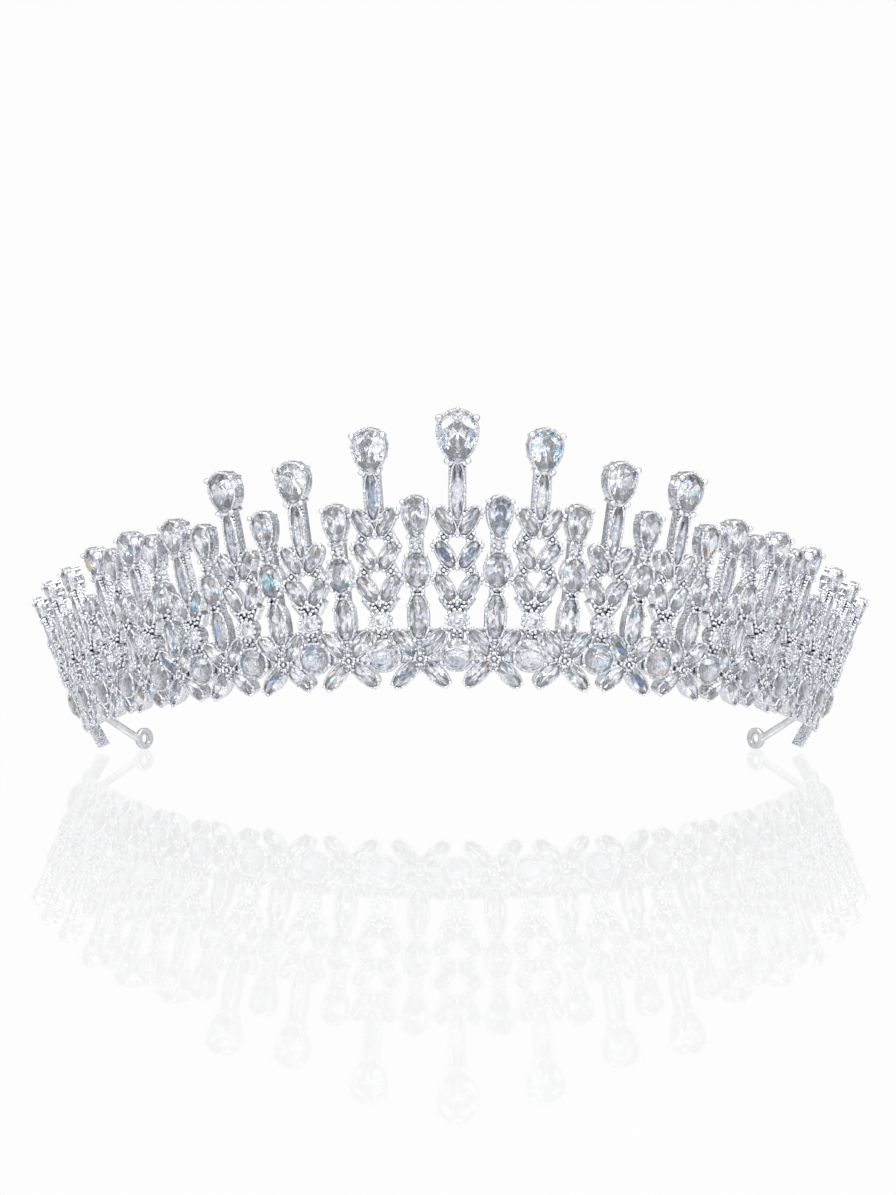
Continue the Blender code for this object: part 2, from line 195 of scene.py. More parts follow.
soft_box("soft_box_top", (0.0, -0.25, 0.8), 0.35, 2.5)
soft_box("soft_box_left", (-0.7, -0.6, 0.4), 0.25, 0.8)
soft_box("soft_box_right", (0.7, -0.55, 0.45), 0.25, 0.8)

# ============================================================ where each spray sits
# The sprays stand side by side along half an ellipse, flare outwards and fan out a little. They are
# soldered in a row, and the band is shown leaning back on its eyelets with its front edge raised.
# Lengths are in mm and angles in degrees.

HALF_WIDTH = 82.6
HALF_DEPTH = 112.7
PITCH = 12.87
EACH_SIDE = 9
FLARE = 15.8
EXTRA_FLARE_AT_ENDS = 6.3
TUCK_AT_ENDS = 0.9
FAN_OUT = 2.3
LEAN_BACK = 7.3
FRONT_EDGE_HEIGHT = 13.7
BOX_CENTRE_FROM_FRONT = 40.434

band = (Matrix.Translation(Vector((0, -BOX_CENTRE_FROM_FRONT, FRONT_EDGE_HEIGHT)))
        @ Matrix.Rotation(-math.radians(LEAN_BACK), 4, "X"))


def edge_angle(length):
    """Parameter of the ellipse at a distance along the lower edge from the front."""
    step = 0.002
    angle = 0.0
    walked = 0.0
    speed = HALF_WIDTH
    while walked < length:
        speed = math.hypot(HALF_WIDTH * math.cos(angle), HALF_DEPTH * math.sin(angle))
        walked += speed * step
        angle += step
    return angle - (walked - length) / speed


def seat(place):
    """Frame of a spray, in mm: X along the band, Y into its thickness, Z up the flared wall."""
    angle = edge_angle(abs(place) * PITCH)
    side = -1.0 if place < 0 else 1.0
    along = Vector((HALF_WIDTH * math.cos(angle), side * HALF_DEPTH * math.sin(angle), 0)).normalized()
    outward = Vector((along.y, -along.x, 0))
    flare = math.radians(FLARE + EXTRA_FLARE_AT_ENDS * (place / EACH_SIDE) ** 2)
    up = outward * math.sin(flare) + Vector((0, 0, math.cos(flare)))
    matrix = Matrix((along, up.cross(along), up)).transposed().to_4x4()
    foot = Vector((side * HALF_WIDTH * math.sin(angle), HALF_DEPTH * (1 - math.cos(angle)), 0))
    matrix.translation = foot - outward * TUCK_AT_ENDS * (place / EACH_SIDE) ** 2
    fan = math.radians(side * FAN_OUT * abs(place) / (abs(place) + 1.5))
    return band @ matrix @ Matrix.Rotation(fan, 4, "Y")

# ============================================================ stones
# Colourless cubic zirconia, cut as brilliants and polished: flat facets that meet in sharp edges, a
# pointed back, and a high refractive index that makes each facet flash light or dark. Each stone sits
# in a cup of its spray, and those of one spray are one piece.

BLUNT_POINT, SHARP_POINT = -0.25, 0.15
PEAR_POINT = 0.42
PEAR_CULET_RISE = 0.6
GIRDLE_HALF = 0.02
STAR_RISE, STAR_RATIO = -0.11, 0.78
TABLE_RISE, TABLE_RATIO = -0.17, 0.56
LOWER_DEPTH, LOWER_RATIO = 0.70, 0.34


class Build:
    """Points and faces of one piece, gathered in mm in the frame of its spray."""

    def __init__(self):
        self.points = []
        self.faces = []

    def add(self, points, faces):
        first = len(self.points)
        self.points.extend(points)
        self.faces.extend([tuple(first + i for i in face) for face in faces])

    def piece(self, name, matrix, material, slot, smooth_below=None):
        """One object made of all the points and faces."""
        mesh = bpy.data.meshes.new(name)
        turned = np.array(self.points) @ np.array(matrix.to_3x3()).T + np.array(matrix.translation)
        mesh.from_pydata(turned * MM, [], self.faces)
        mesh.update()
        if smooth_below is not None:
            mesh.shade_smooth()
            mesh.set_sharp_from_angle(angle=math.radians(smooth_below))
        mesh.materials.append(material)
        made = bpy.data.objects.new(name, mesh)
        bpy.context.scene.collection.objects.link(made)
        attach(made, "root")
        return made


def cut_point(cut, angle, length, width, point=BLUNT_POINT):
    """Point (across, up) of a cut's outline; a higher point makes a marquise's ends sharper."""
    c, s = math.cos(angle), math.sin(angle)
    if cut == "oval":
        return width / 2 * c, length / 2 * s
    if cut == "marquise":
        return width / 2 * c * abs(c) ** point, length / 2 * s
    if s >= 0:
        return width / 2 * c, width / 2 * s + pear_middle(length, width)
    return width / 2 * c * abs(c) ** PEAR_POINT, (length - width / 2) * s + pear_middle(length, width)


def pear_middle(length, width):
    """Height of a pear's round part above the middle of its length."""
    return length / 2 - width / 2


def cut_ring(cut, length, width, count, depth, turn=0.0, ratio=1.0, point=BLUNT_POINT):
    """Ring of points round a cut at one depth, shrunk towards its middle by ratio."""
    middle = pear_middle(length, width) * PEAR_CULET_RISE if cut == "pear" else 0.0
    ring = []
    for i in range(count):
        x, z = cut_point(cut, -math.pi / 2 + (i + turn) * 2 * math.pi / count, length, width, point)
        ring.append(Vector((x * ratio, depth, middle + (z - middle) * ratio)))
    return ring


def lay(points, out, depth, height, tilt=0.0):
    """The points of one element moved and tilted into the frame of its spray."""
    turn = Matrix.Rotation(math.radians(tilt), 3, "Y")
    offset = Vector((out, depth, height))
    return [turn @ p + offset for p in points]


def brilliant(stones, cut, length, width, out, depth, height, tilt=0.0, mains=8, deep=0.40):
    """Table, stars, kites and girdle facets in front; mains, lower halves and culet behind."""
    wide = min(length, width)
    point = SHARP_POINT
    back = deep * wide
    middle = pear_middle(length, width) * PEAR_CULET_RISE if cut == "pear" else 0.0
    n = 2 * mains
    girdle = [cut_ring(cut, length, width, n, at * wide, point=point)
              for at in (-GIRDLE_HALF, GIRDLE_HALF)]
    star = cut_ring(cut, length, width, mains, STAR_RISE * wide, 0.5, STAR_RATIO, point)
    table = cut_ring(cut, length, width, mains, TABLE_RISE * wide, 0.0, TABLE_RATIO, point)
    lower = cut_ring(cut, length, width, mains, back * LOWER_DEPTH, 0.5, LOWER_RATIO, point)
    points = girdle[0] + girdle[1] + star + table + lower + [Vector((0, back, middle))]
    st, tb, lw, cu = 2 * n, 2 * n + mains, 2 * n + 2 * mains, 2 * n + 3 * mains
    faces = [tuple(tb + i for i in range(mains))]
    for i in range(mains):
        j, before = (i + 1) % mains, (i - 1) % mains
        even, odd, onward = 2 * i, 2 * i + 1, (2 * i + 2) % n
        faces += [(tb + i, st + i, tb + j), (tb + i, st + before, even, st + i), (st + i, even, odd),
                  (st + i, odd, onward), (lw + i, n + odd, n + even), (lw + i, n + onward, n + odd),
                  (cu, lw + i, n + even, lw + before)]
    faces += [(i, n + i, n + (i + 1) % n, (i + 1) % n) for i in range(n)]
    stones.add(lay(points, out, depth, height, tilt), faces)


luck = random.Random(11)


def paint_flashes(piece):
    """Gives every facet of a piece its own chance of a coloured flash, painted light in the stone's
    colour.
    """
    mesh = piece.data
    painted_flash_pick = mesh.attributes.new("painted_flash_pick", "FLOAT", "FACE")
    painted_flash_pick.data.foreach_set("value", [luck.random() for _ in mesh.polygons])


# Polished cubic zirconia: clear and colourless, with a refractive index of 2.15. Its colour is painted
# light: some facets get a painted blue, navy, cyan or amber flash for its strong dispersion and for dark
# reflections, and the smaller back facets that are too many to cut here are painted as pale and grey
# glint cells, a little under half a millimetre wide and drawn out along the stone.
ICE_CELLS_PER_MM = 2.2
ICE_DRAWN_OUT = (1.0, 1.0, 0.45)

zirconia, tree, shader = new_material("cubic_zirconia_polished")
shader.inputs["IOR"].default_value = 2.15
shader.inputs["Roughness"].default_value = 0.01
shader.inputs["Transmission Weight"].default_value = 0.90
painted_flash_pick = add_node(tree, "ShaderNodeAttribute", attribute_name="painted_flash_pick")
# Painted light: the pick colours most facets near white and a few a painted blue, navy, cyan or amber
# flash.
painted_flash_colour = add_node(tree, "ShaderNodeValToRGB", links={"Fac": painted_flash_pick.outputs["Fac"]})
painted_flash_colour.color_ramp.interpolation = "CONSTANT"
ramp_stops(painted_flash_colour, [(0.0, "#FBFCFF"), (0.55, "#F1F4FA"), (0.80, "#FFFDF8"), (0.915, "#8FA3C8"),
                  (0.94, "#39508A"), (0.955, "#8FD8EE"), (0.975, "#F2C58A"), (0.988, "#FFFFFF")])
spot = add_node(tree, "ShaderNodeTexCoord")
drawn_out = add_node(tree, "ShaderNodeMapping", {"Scale": ICE_DRAWN_OUT},
                     {"Vector": spot.outputs["Object"]})
ice = add_node(tree, "ShaderNodeTexVoronoi", {"Scale": ICE_CELLS_PER_MM / MM},
               {"Vector": drawn_out.outputs[0]})
cells = add_node(tree, "ShaderNodeSeparateColor", links={"Color": ice.outputs["Color"]})
# Painted glints: the cells colour the stone white, pale or grey, for light and dark reflections off
# small facets.
painted_cell_glints = add_node(tree, "ShaderNodeValToRGB", links={"Fac": cells.outputs[0]})
painted_cell_glints.color_ramp.interpolation = "CONSTANT"
ramp_stops(painted_cell_glints, [(0.0, "#A3ABBD"), (0.08, "#DFE3EB"), (0.30, "#F8F9FB"), (0.6, "#FFFFFF")])
# The stone's colour multiplies the painted flashes by the painted glint cells.
painted_stone_colour = add_node(tree, "ShaderNodeMixRGB", {0: 1.0},
                    {1: painted_flash_colour.outputs["Color"], 2: painted_cell_glints.outputs["Color"]}, blend_type="MULTIPLY")
tree.links.new(painted_stone_colour.outputs[0], shader.inputs["Base Color"])

# ============================================================ castings: what every spray is made of
# Lost-wax castings in brass under a bright rhodium plate. Each stone has an open cup; beads raised
# from the metal grip it, and the lips and bars are milled into rows of fine grains.

BEAD_OUT_OF_LIP = -0.28
POST_RATIO = 0.7


def unit_ball(detail):
    """Points and faces of a ball of radius 1."""
    shape = bmesh.new()
    bmesh.ops.create_icosphere(shape, subdivisions=detail, radius=1.0)
    shape.verts.ensure_lookup_table()
    points = [v.co.copy() for v in shape.verts]
    faces = [tuple(v.index for v in f.verts) for f in shape.faces]
    shape.free()
    return points, faces


FINE_BALL, COARSE_BALL = unit_ball(2), unit_ball(1)


def bead(metal, out, depth, height, radius, ball=FINE_BALL):
    """Small ball of metal."""
    points, faces = ball
    metal.add([Vector((out, depth, height)) + p * radius for p in points], faces)


def hoop(metal, rings):
    """Closed hoop through rings of points, the last joined back to the first."""
    count = len(rings[0])
    faces = []
    for r in range(len(rings)):
        nxt = (r + 1) % len(rings)
        for i in range(count):
            j = (i + 1) % count
            faces.append((r * count + i, r * count + j, nxt * count + j, nxt * count + i))
    metal.add([p for ring in rings for p in ring], faces)


def rod(metal, start, end, radius, sides=8):
    """Round post with closed ends."""
    run = end - start
    side = run.orthogonal().normalized()
    other = run.normalized().cross(side)
    points = []
    for foot in (start, end):
        for i in range(sides):
            a = i * 2 * math.pi / sides
            points.append(foot + (side * math.cos(a) + other * math.sin(a)) * radius)
    faces = [(i, (i + 1) % sides, sides + (i + 1) % sides, sides + i) for i in range(sides)]
    metal.add(points, faces + [tuple(reversed(range(sides))), tuple(range(sides, 2 * sides))])


CUP_BACK = 2.4
CUP_TAPER = 0.86


def cup(metal, cut, length, width, out, depth, height, tilt=0.0, wall=0.45, back=CUP_BACK, count=28):
    """Open cup of the outer size given: rounded lip, side, open back and a sloping inner seat."""
    def ring(inset, at, ratio=1.0):
        return cut_ring(cut, length - 2 * inset, width - 2 * inset, count, at, ratio=ratio)

    rings = [ring(wall, -0.05), ring(wall - 0.08, -0.17), ring(0.12, -0.20), ring(0.0, -0.04),
             ring(0.0, back - 0.1, CUP_TAPER), ring(0.1, back, CUP_TAPER),
             ring(wall + 0.05, back, CUP_TAPER), ring(wall + 0.15, 0.4)]
    hoop(metal, [lay(r, out, depth, height, tilt) for r in rings])


def grains(metal, cut, length, width, out, depth, height, tilt=0.0, inset=0.2, radius=0.17,
           spacing=0.44):
    """Milled edge: a row of small beads along the lip of a cup."""
    fine = 120
    path = cut_ring(cut, length - 2 * inset, width - 2 * inset, fine, -0.14)
    spans = [(path[(i + 1) % fine] - path[i]).length for i in range(fine)]
    total = sum(spans)
    step = total / max(6, round(total / spacing))
    placed, walked, goal = [], 0.0, 0.0
    for i, span in enumerate(spans):
        while goal < walked + span and goal < total - step / 2:
            placed.append(path[i].lerp(path[(i + 1) % fine], (goal - walked) / span))
            goal += step
        walked += span
    for p in lay(placed, out, depth, height, tilt):
        bead(metal, p.x, p.y, p.z, radius, COARSE_BALL)


def claws(metal, cut, length, width, out, depth, height, tilt, angles, radius, inset=0.1, post=0.0):
    """Gripping beads at angles (degrees) round a cup, with posts down the cup's side if post is set."""
    for angle in angles:
        x, z = cut_point(cut, math.radians(angle), length - 2 * inset, width - 2 * inset)
        ends = [Vector((x, BEAD_OUT_OF_LIP, z)), Vector((x * 0.9, post, z * 0.9))]
        tip, foot = lay(ends, out, depth, height, tilt)
        bead(metal, tip.x, tip.y, tip.z, radius)
        if post:
            rod(metal, tip, foot, radius * POST_RATIO)


def bar(metal, start, end, width, front=0.15, back=2.0, studs=0.0, bent_in=0.0):
    """Bevelled bar between two places (out, height), with rows of studs; its start may lie deeper."""
    start, end = Vector((start[0], 0, start[1])), Vector((end[0], 0, end[1]))
    run = end - start
    side = Vector((run.z, 0, -run.x)).normalized() * width / 2
    edge = front + 0.25
    section = ((-1, back), (-1, edge), (-0.7, front), (0.7, front), (1, edge), (1, back))
    points = [foot + side * across + Vector((0, at + deeper, 0))
              for foot, deeper in ((start, bent_in), (end, 0)) for across, at in section]
    n = len(section)
    faces = [(i, n + i, n + (i + 1) % n, (i + 1) % n) for i in range(n)]
    metal.add(points, faces + [tuple(range(n)), tuple(reversed(range(n, 2 * n)))])
    count = round(run.length / studs) if studs else 0
    for i in range(count):
        p = start.lerp(end, (i + 0.5) / count)
        for across in (-0.52, 0.52):
            q = p + side * across
            bead(metal, q.x, front + bent_in * (1 - (i + 0.5) / count), q.z, 0.26)


# Bright rhodium over cast brass: a cool white mirror, broken up by milled grains a little under half
# a millimetre apart and clouded where the polishing wheel did not reach. Its colour carries painted
# shade:
# darker towards the edge of each grain, and darker still in crevices by ambient occlusion.
GRAINS_PER_MM = 2.3
GRAIN_DEPTH = 0.12
CLOUDS_PER_MM = 0.6
CREVICE_REACH = 0.6

rhodium, tree, shader = new_material("rhodium_plate_bright_cast")
shader.inputs["Metallic"].default_value = 1.0
spot = add_node(tree, "ShaderNodeTexCoord")
beading = add_node(tree, "ShaderNodeTexVoronoi", {"Scale": GRAINS_PER_MM / MM},
                   {"Vector": spot.outputs["Object"]})
cloud = add_node(tree, "ShaderNodeTexNoise", {"Scale": CLOUDS_PER_MM / MM, "Detail": 3.0},
                 {"Vector": spot.outputs["Object"]})
# Painted shade: the colour darkens from the middle of each grain to its edge, between the grains.
shade = add_node(tree, "ShaderNodeValToRGB", links={"Fac": beading.outputs["Distance"]})
ramp_stops(shade, [(0.25, "#E9EAED"), (0.75, "#BEC0C7")])
# Painted shade: ambient occlusion darkens the colour in crevices and where parts meet.
crevice = add_node(tree, "ShaderNodeAmbientOcclusion", {"Distance": CREVICE_REACH * MM},
                   {"Color": shade.outputs["Color"]}, samples=4, only_local=True)
painted_crevice_shade = add_node(tree, "ShaderNodeValToRGB", links={"Fac": crevice.outputs["AO"]})
ramp_stops(painted_crevice_shade, [(0.25, "#4A4C54"), (0.62, "#FFFFFF")])
shaded_metal_colour = add_node(tree, "ShaderNodeMixRGB", {0: 1.0},
                 {1: shade.outputs["Color"], 2: painted_crevice_shade.outputs["Color"]}, blend_type="MULTIPLY")
tree.links.new(shaded_metal_colour.outputs[0], shader.inputs["Base Color"])
polish = add_node(tree, "ShaderNodeMapRange", {"To Min": 0.10, "To Max": 0.32},
                  {"Value": cloud.outputs["Fac"]})
tree.links.new(polish.outputs[0], shader.inputs["Roughness"])
dents = add_node(tree, "ShaderNodeBump", {"Strength": 0.55, "Distance": GRAIN_DEPTH * MM},
                 {"Height": beading.outputs["Distance"]}, invert=True)
tree.links.new(dents.outputs[0], shader.inputs["Normal"])

# ============================================================ tall sprays
# One casting each. From the bottom: a large round stone, a small round one, one to three pairs of
# marquises in a V, a marquise on the stem and a pear on top. Number 0 stands in the middle and is the
# tallest. Heights are above the band's lower edge.

TALL_TOPS = (50.7, 47.7, 42.7, 42.4, 35.2, 34.8, 34.0, 32.2, 31.7, 30.6)
TALL_HEADS = (10.2, 8.7, 8.4, 8.4, 7.4, 7.4, 6.7, 6.0, 5.6, 5.6)
TALL_V_PAIRS = (3, 3, 2, 2, 1, 1, 1, 1, 1, 1)
BIG_ROUND = (6.2, 6.6)
BIG_ROUND_HEIGHT = 6.0
BIG_ROUND_PROUD = -0.25
SMALL_ROUND = 3.7
SMALL_ROUND_HEIGHT = 12.3
V_LEAF = (6.3, 3.25)
V_HEIGHT, V_STEP = 18.15, 5.97
V_OUT, V_TILT = 2.15, 31.0
V_RISE = 2.9 * math.cos(math.radians(V_TILT))
STEM_FOOT, STEM_STEP = 18.3, 5.95
STEM_WIDTH = 3.2
HEAD_ASPECT = 0.77
HEAD_BELOW_TOP = 0.42
TALL_HEAD_BACK = 3.0
END_BAR_BOTTOM, END_BAR_TOP, END_BAR_BENT_IN = -4.3, 4.8, 1.3


def leaf(metal, stones, length, width, out, height, tilt):
    """Marquise stone in a milled cup, blunted by a pair of beads near each end."""
    cup(metal, "marquise", length, width, out, 0, height, tilt)
    brilliant(stones, "marquise", length - 0.75, width - 0.7, out, -0.05, height, tilt)
    grains(metal, "marquise", length, width, out, 0, height, tilt)
    ends = [Vector((x, -0.15, z)) for z in (length / 2 - 0.35, 0.35 - length / 2) for x in (-0.58, 0.58)]
    for p in lay(ends, out, 0, height, tilt):
        bead(metal, p.x, p.y, p.z, 0.36)


def pear_head(metal, gem, length, width, height, claw, back):
    """Pear stone in a two-tier gallery: a rim at the girdle, a rim behind, and posts between them."""
    for inset, front_at, back_at in ((0.0, -0.18, 1.35), (0.3, 1.85, back)):
        rings = []
        for more, at in ((0.55, front_at + 0.12), (0.42, front_at), (0.12, front_at),
                         (0.0, front_at + 0.15), (0.0, back_at), (0.6, back_at)):
            cut = inset + more
            rings.append(cut_ring("pear", length - 2 * cut, width - 2 * cut, 36, at))
        hoop(metal, [lay(r, 0, 0, height) for r in rings])
    brilliant(gem, "pear", length - 0.85, width - 0.85, 0, 0, height, mains=9)
    grains(metal, "pear", length, width, 0, 0, height, inset=0.22, radius=0.19, spacing=0.48)
    for angle, size in ((35, 1.0), (145, 1.0), (90, 0.55), (241, 0.9), (299, 0.9)):
        x, z = cut_point("pear", math.radians(angle), length - 0.1, width - 0.1)
        x *= 1.35 if angle > 180 else 1.05
        tip = Vector((x, -0.32, height + z))
        bead(metal, tip.x, tip.y, tip.z, claw * size)
        rod(metal, tip, Vector((x * 0.93, back - 0.1, height + z * 0.92)), claw * size * 0.6)
    for angle in (0, 180, 62, 118, 205, 335, 270):
        x, z = cut_point("pear", math.radians(angle), length - 0.6, width - 0.6)
        rod(metal, Vector((x, 0.9, height + z)), Vector((x, back - 0.4, height + z)), 0.3)


def base_rounds(metal, stones):
    """The large round stone in the base row and the small one above it."""
    place = (0, BIG_ROUND_PROUD, BIG_ROUND_HEIGHT)
    cup(metal, "oval", *BIG_ROUND, *place, wall=0.5, count=36, back=CUP_BACK - BIG_ROUND_PROUD)
    brilliant(stones, "oval", 5.4, 5.8, 0, -0.35, BIG_ROUND_HEIGHT)
    grains(metal, "oval", *BIG_ROUND, *place)
    claws(metal, "oval", *BIG_ROUND, 0, -0.13, BIG_ROUND_HEIGHT, 0, (48, 132, 208, 332), 0.48,
          post=CUP_BACK)
    claws(metal, "oval", *BIG_ROUND, *place, 0, (66, 114), 0.36)
    bar(metal, (0, 8.4), (0, 11.2), 2.4)
    bar(metal, (-4.9, 5.6), (4.9, 5.6), 2.4, front=0.5)
    for x, z in ((-0.7, 9.6), (0.7, 9.5), (0.0, 10.1)):
        bead(metal, x, 0.0, z, 0.42)
    cup(metal, "oval", SMALL_ROUND, SMALL_ROUND, 0, -0.25, SMALL_ROUND_HEIGHT, wall=0.6, count=24)
    brilliant(stones, "oval", 2.6, 2.6, 0, -0.35, SMALL_ROUND_HEIGHT)
    claws(metal, "oval", 4.1, 4.1, 0, -0.15, SMALL_ROUND_HEIGHT, 0, range(15, 360, 30), 0.42, post=1.0)
    bar(metal, (0, 13.6), (0, STEM_FOOT - V_RISE + 0.9), 2.4)
    for x, z in ((-0.9, 14.7), (0.9, 14.7), (0.0, 15.1), (-0.6, 15.7), (0.6, 15.7)):
        bead(metal, x, 0.0, z, 0.42)


def v_pair(metal, stones, pair):
    """Two marquises in a V, joined by beaded links to what stands below them."""
    centre = V_HEIGHT + pair * V_STEP
    foot = centre - V_RISE
    for side in (-1, 1):
        leaf(metal, stones, *V_LEAF, side * V_OUT, centre, side * V_TILT)
        for x, z, size in ((4.05, 2.4, 0.42), (4.45, 1.6, 0.48), (4.3, 0.8, 0.4)):
            bead(metal, side * x, 0.0, centre + z, size)
        if pair == 0:
            bar(metal, (side * 1.0, foot - 1.4), (side * 2.7, foot + 0.9), 1.9)
            for x, z in ((1.5, -0.9), (2.1, -0.1), (2.8, 0.7)):
                bead(metal, side * x, 0.0, foot + z, 0.44)
    bead(metal, 0, -0.2, foot + 0.75, 0.48)
    bead(metal, 0, -0.15, foot - 0.1, 0.42)
    if pair:
        for side in (-1, 1):
            bar(metal, (side * 3.3, foot - 2.3), (side * 1.7, foot + 1.2), 2.2)
            for x, z in ((2.45, -0.35), (2.95, 0.3), (1.95, -1.0)):
                bead(metal, side * x, 0.0, foot + z, 0.44)


def stem(metal, stones, low, high):
    """Long marquise on the stem between the V and the head, with beads along both its sides."""
    middle, length = (low + high) / 2, high - low
    cup(metal, "marquise", length, STEM_WIDTH, 0, 0, middle, wall=0.55)
    brilliant(stones, "marquise", length - 1.0, STEM_WIDTH - 1.0, 0, -0.05, middle)
    grains(metal, "marquise", length, STEM_WIDTH, 0, 0, middle, inset=0.25)
    bar(metal, (0, low + 1.2), (0, high + 0.6), STEM_WIDTH, front=0.4)
    for side in (-1, 1):
        edge = [low + 1.4 + 0.62 * i for i in range(int((high - low - 0.8) / 0.62))]
        for z in edge:
            bead(metal, side * 1.35, 0.25, z, 0.3)
        for z, size in ((high - 0.5, 0.5), (middle + 1.0, 0.3), (middle - 0.6, 0.3), (low + 1.3, 0.46),
                        (low + 0.4, 0.4)):
            bead(metal, side * 1.25, -0.12, z, size)


def tall_spray(metal, stones, gem, number):
    """All of one tall spray; the last on each side also carries the end bar."""
    top, head, pairs = TALL_TOPS[number], TALL_HEADS[number], TALL_V_PAIRS[number]
    base_rounds(metal, stones)
    for pair in range(pairs):
        v_pair(metal, stones, pair)
    v_top = STEM_FOOT + (pairs - 1) * STEM_STEP + V_RISE
    low, high = v_top - 2.6, top - head + 0.5
    bar(metal, (0, v_top - 4.4), (0, low + 2.6), 2.2)
    stem(metal, stones, low, high)
    pear_head(metal, gem, head, head * HEAD_ASPECT, top - head / 2 - HEAD_BELOW_TOP, 0.24 + 0.046 * head,
              TALL_HEAD_BACK)
    if number == EACH_SIDE:
        bar(metal, (0, END_BAR_BOTTOM), (0, END_BAR_TOP), 2.4, front=0.05, back=CUP_BACK - 0.15,
            studs=0.8, bent_in=END_BAR_BENT_IN)


# ============================================================ short sprays
# One casting each, between the tall ones: a cross of four marquises in the base row, an upright
# marquise, an oval and a smaller pear. Above the cross a lower spray is the same, made smaller.

SHORT_TOPS = (34.9, 33.9, 33.8, 32.9, 32.8, 32.2, 24.9, 23.9, 22.9)
SAME_UP_TO = 8.4
CROSS_HEIGHT = 5.3
CROSS_TIPS = ((4.8, 10.6), (5.1, 0.2))
CROSS_LEAF_WIDTH = 3.25
CROSS_GAP = 0.5
UPRIGHT, UPRIGHT_HEIGHT = (9.0, 4.2), 12.9
OVAL, OVAL_HEIGHT = (7.3, 5.4), 21.4
SHORT_HEAD = (8.2, 5.1)
SHORT_HEAD_BACK = 2.7


def base_cross(metal, stones):
    """Four marquises in a cross, with a cluster of beads over the middle."""
    for side in (-1, 1):
        for out, tip in CROSS_TIPS:
            reach = Vector((side * out, 0, tip - CROSS_HEIGHT))
            way = reach.normalized()
            centre = way * (CROSS_GAP + reach.length) / 2
            tilt = math.degrees(math.atan2(centre.x, centre.z))
            leaf(metal, stones, reach.length - CROSS_GAP, CROSS_LEAF_WIDTH, centre.x,
                 CROSS_HEIGHT + centre.z, tilt)
    bar(metal, (0, 3.2), (0, 7.4), 2.6, front=-0.05, studs=0.7)
    for x, z, size in ((0, CROSS_HEIGHT, 0.45), (-0.8, 5.9, 0.34), (0.8, 4.7, 0.34), (-1.7, 5.35, 0.4),
                       (1.7, 5.35, 0.4), (0, 3.1, 0.36), (0, 7.5, 0.38)):
        bead(metal, x, -0.15, z, size)


def short_spray(metal, stones, number):
    """All of one short spray."""
    top = SHORT_TOPS[number]
    scale = (top - SAME_UP_TO) / (SHORT_TOPS[0] - SAME_UP_TO)
    slim = 0.5 + 0.5 * scale

    def raised(height):
        return SAME_UP_TO + (height - SAME_UP_TO) * scale

    base_cross(metal, stones)
    post = CUP_BACK - 0.3
    upright, broad, height = UPRIGHT[0] * scale, UPRIGHT[1] * slim, raised(UPRIGHT_HEIGHT)
    bar(metal, (0, 5.8), (0, height - upright / 2 + 1.9), 2.6, studs=0.8)
    cup(metal, "marquise", upright, broad, 0, 0, height, wall=0.55)
    brilliant(stones, "marquise", upright - 1.0, broad - 0.95, 0, 0, height)
    grains(metal, "marquise", upright, broad, 0, 0, height, inset=0.25)
    claws(metal, "marquise", upright, broad, 0, 0, height, 0, (28, 152, 332, 208), 0.36, post=post)
    claws(metal, "marquise", upright, broad, 0, 0, height, 0, (72, 108, 288, 252), 0.42)
    oval, round_width, middle = OVAL[0] * scale, OVAL[1] * slim, raised(OVAL_HEIGHT)
    bar(metal, (0, height + upright / 2 - 1.8), (0, middle - oval / 2 + 1.3), 2.3, studs=0.8)
    for x in (-0.95, 0.95):
        bead(metal, x, -0.05, (height + upright / 2 + middle - oval / 2) / 2, 0.46)
    cup(metal, "oval", oval, round_width, 0, -0.15, middle, wall=0.5, count=32)
    brilliant(stones, "oval", oval - 0.9, round_width - 0.9, 0, -0.2, middle)
    grains(metal, "oval", oval, round_width, 0, -0.15, middle)
    claws(metal, "oval", oval, round_width, 0, -0.15, middle, 0, (48, 132, 228, 312), 0.46, post=post)
    claws(metal, "oval", oval, round_width, 0, -0.15, middle, 0, (78, 102, 258, 282), 0.34)
    head = SHORT_HEAD[0] * scale
    bar(metal, (0, middle + oval / 2 - 1.3), (0, top - head + 2.4), 2.5, studs=0.8)
    for x in (-0.9, 0.9):
        bead(metal, x, -0.05, middle + oval / 2 + 0.7, 0.46)
    pear_head(metal, stones, head, SHORT_HEAD[1] * slim, top - head / 2, 0.28 + 0.030 * head,
              SHORT_HEAD_BACK)


def place_names():
    """Kind, number from the centre, place along the band and label of every spray."""
    for number in range(EACH_SIDE + 1):
        for side, word in ((-1, "left"), (1, "right")) if number else ((1, "centre"),):
            yield "tall", number, side * number, f"{word}_{number}" if number else word
    for number in range(EACH_SIDE):
        for side, word in ((-1, "left"), (1, "right")):
            yield "short", number, side * (number + 0.5), f"{word}_{number + 1}"


for kind, number, place, label in place_names():
    metal, stones, gem = Build(), Build(), Build()
    if kind == "tall":
        tall_spray(metal, stones, gem, number)
    else:
        short_spray(metal, stones, number)
    casting = metal.piece(f"{kind}_casting_{label}", seat(place), rhodium, "spray_castings",
                          smooth_below=40)
    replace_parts(casting, f"{kind}_spray_{label}")
    paint_flashes(stones.piece(f"{kind}_stones_{label}", seat(place), zirconia, "stones"))
    if kind == "tall":
        head = gem.piece(f"head_gem_{label}", seat(place), zirconia, "stones")
        paint_flashes(head)
        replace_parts(head, f"head_stone_{label}")

# ============================================================ rail wire
# Thin round wire of brass under rhodium plate, soldered along the backs of all the sprays just above
# the row of large stones. It holds the band in its curve.

RAIL_HEIGHT = 10.0
RAIL_RADIUS = 0.4
RAIL_BEHIND = 3.3
RAIL_END = EACH_SIDE + 0.2
RAIL_STEPS = 160

# Rhodium over drawn wire, not polished after plating: greyer and softer than the castings, with faint
# marks left by the draw plate.
DRAW_MARKS_PER_MM = 0.7
DRAW_MARK_DEPTH = 0.05

